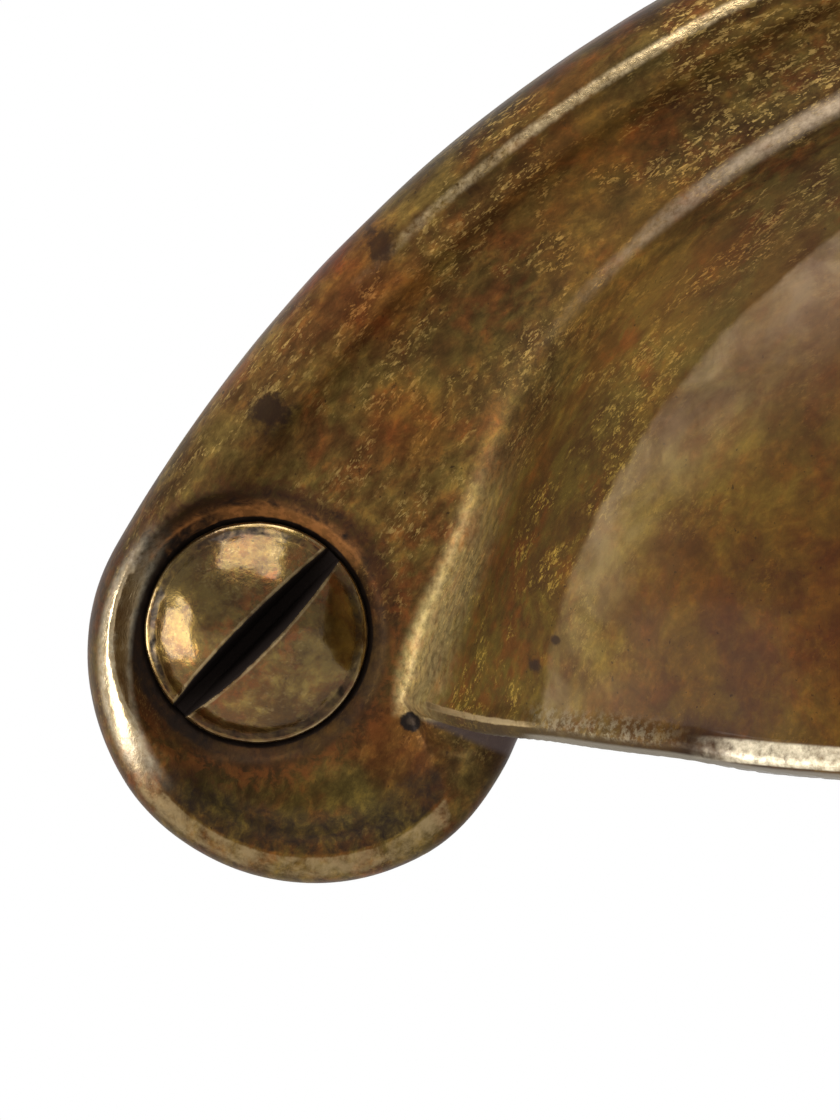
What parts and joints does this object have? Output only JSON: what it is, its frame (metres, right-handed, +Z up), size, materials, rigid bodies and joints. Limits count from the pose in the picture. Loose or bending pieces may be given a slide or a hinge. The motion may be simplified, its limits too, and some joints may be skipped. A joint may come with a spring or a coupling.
{
  "type": "bin pull",
  "caption": "Old cast-brass bin pull: hollow cup for the fingers, arched flange with a raised rim, round ears and slotted countersunk wood screws.",
  "frame": {"origin": "midway between the two screws, on the drawer's face", "axes": "+X to the right seen from the front, +Y into the drawer front, +Z up; the pull stands out towards -Y"},
  "size_m": [0.0876, 0.0392, 0.0364],
  "materials": {
    "aged_brass": "mottled brown and olive patina over polished brass, worn bright on raised edges",
    "screw_brass": "worn, tarnished brass, dark in the slot"
  },
  "bodies": {
    "root": {"pull_body": "aged_brass", "left_screw": "screw_brass", "right_screw": "screw_brass"}
  },
  "joints": []
}
